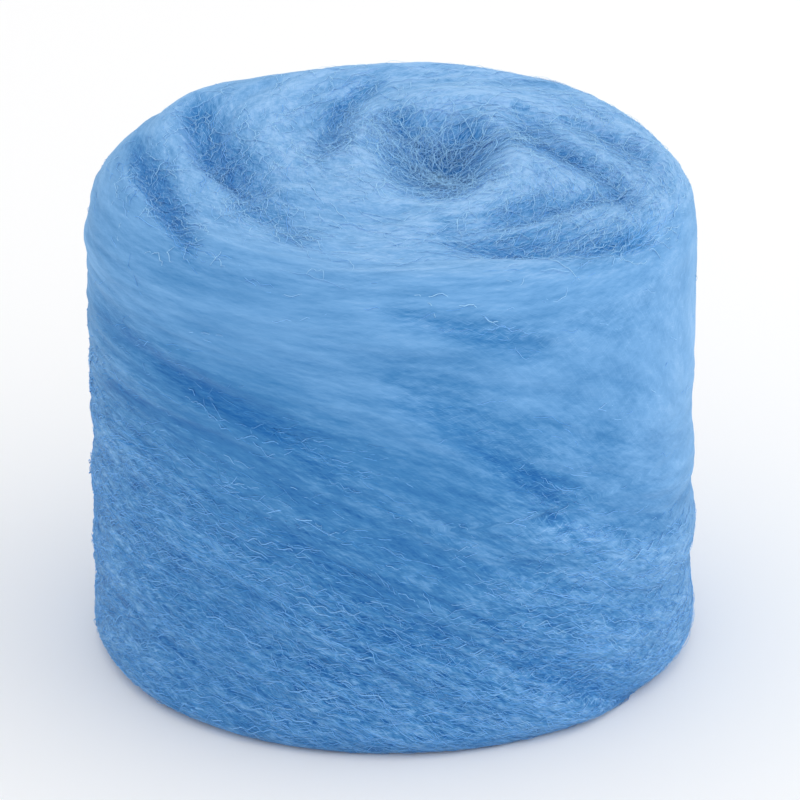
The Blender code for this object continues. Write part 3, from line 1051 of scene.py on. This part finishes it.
class WOOL_OT_wind_roll(bpy.types.Operator):
    """Wind the roll: the closed surface of the wound sliver, with its turns, eye and locks"""

    bl_idname = "wool.wind_roll"
    bl_label = "Wind the roll"

    def execute(self, context):
        along, around = roll_grid()
        wool, _, look = wool_surface(along, around)
        poles, _, pole_look = wool_surface(np.array((0.0, OUTLINE_END)), np.zeros(2))
        corners = np.concatenate((poles[:1], wool.reshape(-1, 3), poles[1:]))
        triangles = grid_triangles(*along.shape)
        piece = new_piece("combed_roll", corners, triangles)
        piece.data.shade_smooth()
        for name, share in look.items():
            ends = pole_look[name]
            set_share(piece.data, name, np.concatenate((ends[:1], share.ravel(), ends[1:])))
        lay_maps(piece.data, corners, triangles)
        piece.data.materials.append(roll_wool())
        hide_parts(ROLL_NODE)
        return {"FINISHED"}


class WOOL_OT_lay_side_fibres(bpy.types.Operator):
    """Lay the combed fibres of the side and of the top edge"""

    bl_idname = "wool.lay_side_fibres"
    bl_label = "Lay the side fibres"

    def execute(self, context):
        lay_fibres(SIDE_LAYERS)
        return {"FINISHED"}


class WOOL_OT_lay_top_fibres(bpy.types.Operator):
    """Lay the crimped fibres that criss-cross on top"""

    bl_idname = "wool.lay_top_fibres"
    bl_label = "Lay the top fibres"

    def execute(self, context):
        lay_fibres(TOP_LAYERS)
        return {"FINISHED"}


class WOOL_OT_tease_eye(bpy.types.Operator):
    """Tease the tangled fibres in and round the sunken eye"""

    bl_idname = "wool.tease_eye"
    bl_label = "Tease the eye"

    def execute(self, context):
        lay_fibres(EYE_LAYERS)
        return {"FINISHED"}


# What the camera aims at, and the place and size of the light
CAMERA_AIM = (1.5 * MM, 0.0, 53.9 * MM)
KEY_PLACE = (0.75, -0.15, 0.5)
KEY_SIZE = 1.0


def plain_floor(studio):
    """A square pale floor at z = 0."""
    half = studio.floor_size / 2
    mesh = bpy.data.meshes.new("studio_floor")
    corners = [(-half, -half, 0.0), (half, -half, 0.0), (half, half, 0.0), (-half, half, 0.0)]
    mesh.from_pydata(corners, [], [(0, 1, 2, 3)])
    web = Web("studio_floor")
    colour = (*studio.floor_colour, 1.0)
    web.feed(web.shader, {"Base Color": colour, "Roughness": 0.9, "Specular IOR Level": 0.1})
    mesh.materials.append(web.material)
    floor = new_object("studio_floor", mesh)


def even_room(studio):
    """A white room: the same light from all sides."""
    world = bpy.data.worlds.new("studio_room")
    world.use_nodes = True
    sockets = world.node_tree.nodes["Background"].inputs
    sockets["Color"].default_value = (1.0, 1.0, 1.0, 1.0)
    sockets["Strength"].default_value = studio.sky_strength
    bpy.context.scene.world = world


def soft_light(studio):
    """A square area light that is aimed at the middle of the roll."""
    light = bpy.data.lights.new("key_light", "AREA")
    light.size = KEY_SIZE
    light.energy = studio.key_power
    lamp = new_object("key_light", light)
    lamp.location = KEY_PLACE
    away = np.array(KEY_PLACE) - (0.0, 0.0, ROLL_HEIGHT / 2)
    level = math.hypot(away[0], away[1])
    lamp.rotation_euler = (math.atan2(level, away[2]), 0.0, math.atan2(away[0], -away[1]))


def photo_camera(studio):
    """The camera: in front of the roll, raised by its elevation, and aimed at the roll's middle."""
    camera = bpy.data.cameras.new("photo_camera")
    camera.lens = studio.lens
    eye = new_object("photo_camera", camera)
    rise = studio.camera_elevation
    away = np.array((0.0, -math.cos(rise), math.sin(rise)))
    eye.location = CAMERA_AIM + studio.camera_distance * away
    eye.rotation_euler = (math.pi / 2 - rise, 0.0, 0.0)
    bpy.context.scene.camera = eye


class WOOL_OT_set_stage(bpy.types.Operator):
    """Set the stage: pale floor, soft studio light and the camera"""

    bl_idname = "wool.set_stage"
    bl_label = "Set the stage"

    def execute(self, context):
        studio = context.scene.wool_studio
        plain_floor(studio)
        even_room(studio)
        soft_light(studio)
        photo_camera(studio)
        context.scene.view_settings.view_transform = "Standard"
        return {"FINISHED"}


OPERATORS = (
    WOOL_OT_wind_roll,
    WOOL_OT_lay_side_fibres,
    WOOL_OT_lay_top_fibres,
    WOOL_OT_tease_eye,
    WOOL_OT_set_stage,
)
GROUPS = {
    "wool_colours": WoolColours,
    "wool_form": WoolForm,
    "wool_fibres": WoolFibres,
    "wool_studio": WoolStudio,
}


class WOOL_PT_roll(bpy.types.Panel):
    """Settings and steps of the roll"""

    bl_label = "Wool roving roll"
    bl_idname = "WOOL_PT_roll"
    bl_space_type = "VIEW_3D"
    bl_region_type = "UI"
    bl_category = "Wool roving"

    def draw(self, context):
        for name, group in GROUPS.items():
            box = self.layout.box()
            for key in group.__annotations__:
                box.prop(getattr(context.scene, name), key)
        for operator in OPERATORS:
            self.layout.operator(operator.bl_idname)


def register():
    for key, group in GROUPS.items():
        bpy.utils.register_class(group)
        setattr(bpy.types.Scene, key, PointerProperty(type=group))
    for operator in OPERATORS:
        bpy.utils.register_class(operator)
    bpy.utils.register_class(WOOL_PT_roll)


def unregister():
    bpy.utils.unregister_class(WOOL_PT_roll)
    for operator in reversed(OPERATORS):
        bpy.utils.unregister_class(operator)
    for key, group in GROUPS.items():
        delattr(bpy.types.Scene, key)
        bpy.utils.unregister_class(group)


def main():
    register()
    bpy.ops.wool.wind_roll()
    bpy.ops.wool.lay_side_fibres()
    bpy.ops.wool.lay_top_fibres()
    bpy.ops.wool.tease_eye()
    bpy.ops.wool.set_stage()


if __name__ == "__main__":
    main()
